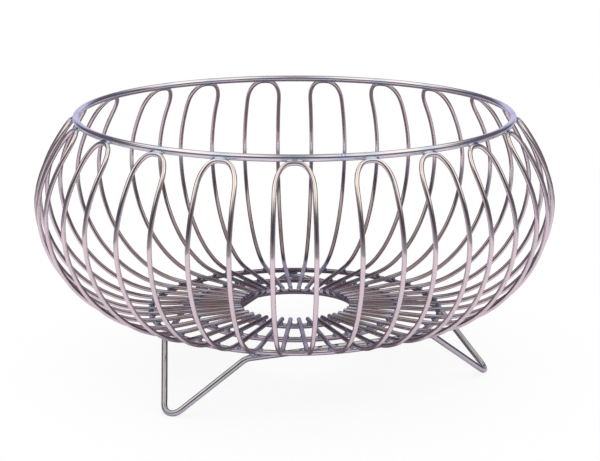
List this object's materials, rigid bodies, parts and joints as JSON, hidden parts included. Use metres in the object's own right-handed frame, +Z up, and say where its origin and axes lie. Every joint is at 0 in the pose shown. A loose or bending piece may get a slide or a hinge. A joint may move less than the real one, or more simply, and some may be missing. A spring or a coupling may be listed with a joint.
{
  "type": "wire fruit basket",
  "caption": "Round open basket of welded plated wire with a rim ring, hairpin loops that bulge and run on as a spoked floor, and a three-footed wire stand.",
  "frame": {"origin": "on the table, in the middle under the basket", "axes": "+Z up through the middle of the bowl; -Y is the front, as pictured; +X to the right seen from the front"},
  "size_m": [0.2784, 0.2776, 0.1421],
  "materials": {
    "rim_plate": "bright polished plating on steel wire",
    "loop_plate": "bright polished plating on steel wire",
    "base_plate": "bright polished plating on steel wire",
    "stand_plate": "bright polished plating on steel wire"
  },
  "bodies": {
    "root": {"rim_ring": "rim_plate", "wire_loop_01": "loop_plate", "wire_loop_02": "loop_plate", "wire_loop_03": "loop_plate", "wire_loop_04": "loop_plate", "wire_loop_05": "loop_plate", "wire_loop_06": "loop_plate", "wire_loop_07": "loop_plate", "wire_loop_08": "loop_plate", "wire_loop_09": "loop_plate", "wire_loop_10": "loop_plate", "wire_loop_11": "loop_plate", "wire_loop_12": "loop_plate", "wire_loop_13": "loop_plate", "wire_loop_14": "loop_plate", "wire_loop_15": "loop_plate", "wire_loop_16": "loop_plate", "wire_loop_17": "loop_plate", "wire_loop_18": "loop_plate", "wire_loop_19": "loop_plate", "wire_loop_20": "loop_plate", "wire_loop_21": "loop_plate", "base_ring_outer": "base_plate", "base_ring_middle": "base_plate", "base_ring_centre": "base_plate", "wire_stand": "stand_plate"}
  },
  "joints": []
}
